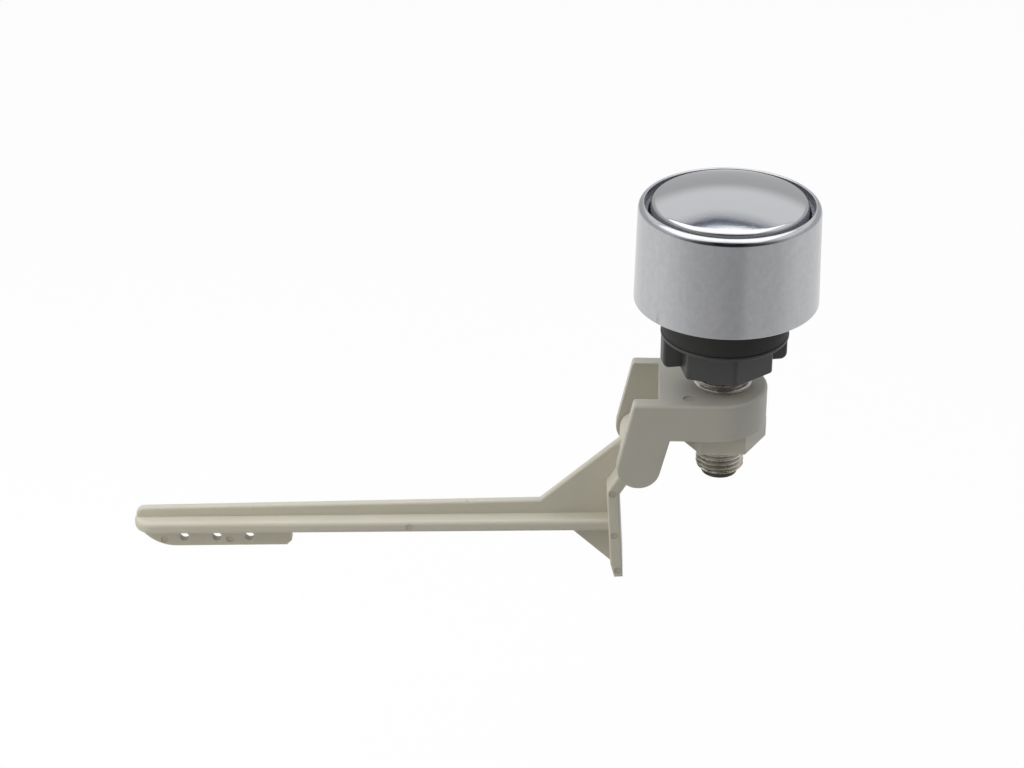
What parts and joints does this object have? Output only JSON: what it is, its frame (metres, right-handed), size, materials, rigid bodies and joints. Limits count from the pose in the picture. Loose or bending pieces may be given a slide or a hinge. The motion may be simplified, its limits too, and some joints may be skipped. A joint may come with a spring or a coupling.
{
  "type": "cistern lever",
  "caption": "Push-button cistern lever: a chromed domed button in a round bezel on a threaded shank, with a forked bracket and a pivoted plastic arm that lifts the flush chain.",
  "frame": {"origin": "on the shank's axis, in the plane of the bezel's back rim, which seats on the cistern wall", "axes": "+Z leaves the wall through the button, and the lever's arm stands out towards -X"},
  "size_m": [0.171, 0.045, 0.1053],
  "materials": {
    "bezel_chrome": "satin",
    "button_chrome": "polished",
    "rod_steel": "satin",
    "spring_steel": "satin",
    "shank_nickel": "nickel plated",
    "washer_rubber": "smooth",
    "nut_black": "moulded",
    "ivory_plastic": "moulded"
  },
  "bodies": {
    "housing": {"bezel": "bezel_chrome", "shank": "shank_nickel", "bracket": "ivory_plastic", "bracket_nut": "ivory_plastic", "return_spring": "spring_steel"},
    "button": {"push_button": "button_chrome", "plunger": "rod_steel"},
    "lever": {"lever": "ivory_plastic", "chain_rib": "ivory_plastic"},
    "washer": {"wall_washer": "washer_rubber"},
    "locknut": {"locknut": "nut_black"}
  },
  "joints": [
    {"name": "button_press", "type": "slide", "parent": "housing", "child": "button", "axis": [0, 0, -1], "range_m": [0, 0.008], "stiffness_N_per_m": 400, "springref_m": -0.01, "deforming": ["return_spring"]},
    {"name": "lever_pivot", "type": "hinge", "parent": "housing", "child": "lever", "pos_m": [-0.0205, 0, -0.0411], "axis": [0, -1, 0], "range_deg": [-100, 55]},
    {"name": "washer_slide", "type": "slide", "parent": "housing", "child": "washer", "axis": [0, 0, -1], "range_m": [0, 0.0046]},
    {"name": "locknut_turn", "type": "hinge", "parent": "washer", "child": "locknut", "pos_m": [0, 0, -0.012], "axis": [0, 0, -1], "range_deg": [0, 1080]}
  ],
  "couplings": [
    {"joint": "washer_slide", "follows": "locknut_turn", "m_per_rad": 0.00023873}
  ]
}
